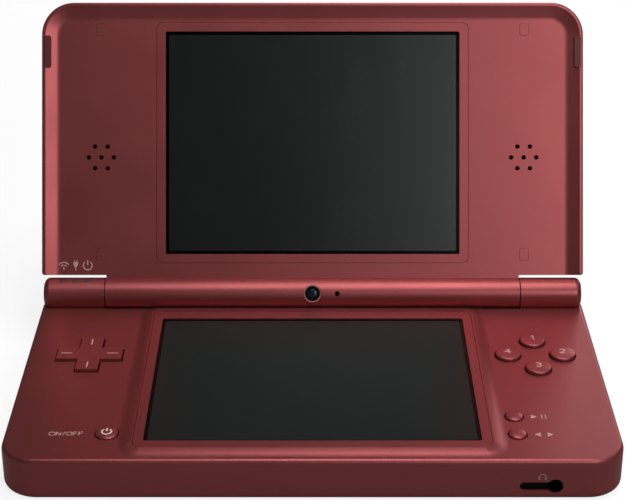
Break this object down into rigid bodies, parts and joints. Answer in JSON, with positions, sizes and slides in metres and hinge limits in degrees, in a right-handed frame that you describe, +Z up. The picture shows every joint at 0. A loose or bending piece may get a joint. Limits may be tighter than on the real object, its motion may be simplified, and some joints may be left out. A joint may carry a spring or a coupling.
{
  "type": "clamshell handheld game console",
  "caption": "Clamshell handheld game console with two wide screens, standing open, with working keys, shoulder buttons, stylus, card door and click hinge.",
  "frame": {"origin": "middle of the underside, on the plane it rests on", "axes": "+X right as seen by the player, +Y to the hinge, +Z up"},
  "size_m": [0.1616, 0.1294, 0.0934],
  "materials": {
    "matte_shell": "satin burgundy moulded plastic",
    "gloss_lid": "high gloss burgundy plastic",
    "key": "satin burgundy key",
    "screen": "dark window",
    "display": "display module",
    "rubber": "dull",
    "silicone": "grey silicone",
    "steel": "steel",
    "black_plastic": "black plastic",
    "board": "green board",
    "battery_wrap": "battery sleeve",
    "lens": "camera lens",
    "light_pipe": "clear grey-green",
    "ring": "pale ring",
    "copper": "flexible circuit",
    "bush": "acetal"
  },
  "bodies": {
    "base": {"base_lower_shell": "matte_shell", "base_upper_shell": "matte_shell", "battery_cover": "matte_shell", "battery_cover_screws": "steel", "battery": "battery_wrap", "rubber_feet": "rubber", "base_screws": "steel", "lower_screen_bezel": "matte_shell", "touch_panel": "screen", "lower_display": "display", "main_board": "board", "board_chips": "black_plastic", "board_shield": "steel", "wireless_module": "board", "game_card_socket": "black_plastic", "memory_card_socket": "steel", "headphone_jack": "black_plastic", "charging_socket": "black_plastic", "stylus_guide": "matte_shell", "dpad_membrane": "silicone", "action_membrane": "silicone", "small_button_membranes": "silicone", "status_lights": "light_pipe", "hinge_unit": "steel", "hinge_bush": "bush", "shoulder_pins": "steel", "shoulder_switches": "black_plastic", "volume_switch": "black_plastic"},
    "lid": {"lid_inner_shell": "matte_shell", "lid_outer_shell": "gloss_lid", "upper_screen_bezel": "matte_shell", "upper_window": "screen", "upper_display": "display", "speakers": "black_plastic", "screw_covers": "matte_shell", "lid_screws": "steel", "rim_bumpers": "rubber", "inner_camera_ring": "ring", "inner_camera_lens": "lens", "microphone": "black_plastic", "outer_camera_ring": "ring", "outer_camera_lens": "lens", "camera_light": "light_pipe", "hinge_shaft": "steel", "flex_cable": "copper"},
    "dpad_pivot": {"dpad_pivot": "silicone"},
    "dpad": {"dpad": "key"},
    "button_top": {"button_top": "key"},
    "button_left": {"button_left": "key"},
    "button_right": {"button_right": "key"},
    "button_bottom": {"button_bottom": "key"},
    "start_button": {"start_button": "key"},
    "select_button": {"select_button": "key"},
    "power_button": {"power_button": "key"},
    "volume_rocker": {"volume_rocker": "matte_shell"},
    "left_shoulder_button": {"left_shoulder_button": "matte_shell"},
    "right_shoulder_button": {"right_shoulder_button": "matte_shell"},
    "stylus": {"stylus": "matte_shell"},
    "card_door": {"card_door": "matte_shell"}
  },
  "joints": [
    {"name": "lid_fold", "type": "hinge", "parent": "base", "child": "lid", "pos_m": [0, 0.041, 0.0148], "axis": [-1, 0, 0], "range_deg": [-116, 39]},
    {"name": "button_top_press", "type": "slide", "parent": "base", "child": "button_top", "axis": [0, 0, -1], "range_m": [0, 0.0006], "stiffness_N_per_m": 900},
    {"name": "button_left_press", "type": "slide", "parent": "base", "child": "button_left", "axis": [0, 0, -1], "range_m": [0, 0.0006], "stiffness_N_per_m": 900},
    {"name": "button_right_press", "type": "slide", "parent": "base", "child": "button_right", "axis": [0, 0, -1], "range_m": [0, 0.0006], "stiffness_N_per_m": 900},
    {"name": "button_bottom_press", "type": "slide", "parent": "base", "child": "button_bottom", "axis": [0, 0, -1], "range_m": [0, 0.0006], "stiffness_N_per_m": 900},
    {"name": "start_button_press", "type": "slide", "parent": "base", "child": "start_button", "axis": [0, 0, -1], "range_m": [0, 0.0006], "stiffness_N_per_m": 900},
    {"name": "select_button_press", "type": "slide", "parent": "base", "child": "select_button", "axis": [0, 0, -1], "range_m": [0, 0.0006], "stiffness_N_per_m": 900},
    {"name": "power_button_press", "type": "slide", "parent": "base", "child": "power_button", "axis": [0, 0, -1], "range_m": [0, 0.0006], "stiffness_N_per_m": 900},
    {"name": "dpad_tilt_ns", "type": "hinge", "parent": "base", "child": "dpad_pivot", "pos_m": [-0.0628, 0.0084, 0.0095], "axis": [1, 0, 0], "range_deg": [-3, 3], "stiffness_Nm_per_rad": 0.3},
    {"name": "dpad_tilt_ew", "type": "hinge", "parent": "dpad_pivot", "child": "dpad", "pos_m": [-0.0628, 0.0084, 0.0095], "axis": [0, 1, 0], "range_deg": [-3, 3], "stiffness_Nm_per_rad": 0.3},
    {"name": "volume_rock", "type": "hinge", "parent": "base", "child": "volume_rocker", "pos_m": [-0.0791, -0.006, 0.0062], "axis": [0, 0, 1], "range_deg": [-3, 3], "stiffness_Nm_per_rad": 0.3},
    {"name": "left_shoulder_press", "type": "hinge", "parent": "base", "child": "left_shoulder_button", "pos_m": [-0.0755, 0.0414, 0.006], "axis": [0, 0, -1], "range_deg": [0, 3], "stiffness_Nm_per_rad": 0.5},
    {"name": "right_shoulder_press", "type": "hinge", "parent": "base", "child": "right_shoulder_button", "pos_m": [0.0755, 0.0414, 0.006], "axis": [0, 0, 1], "range_deg": [0, 3], "stiffness_Nm_per_rad": 0.5},
    {"name": "stylus_draw", "type": "slide", "parent": "base", "child": "stylus", "axis": [1, 0, 0], "range_m": [0, 0.095]},
    {"name": "card_door_swing", "type": "hinge", "parent": "base", "child": "card_door", "pos_m": [0.0805, -0.01719, 0.0035], "axis": [0, 1, 0], "range_deg": [0, 90]}
  ]
}
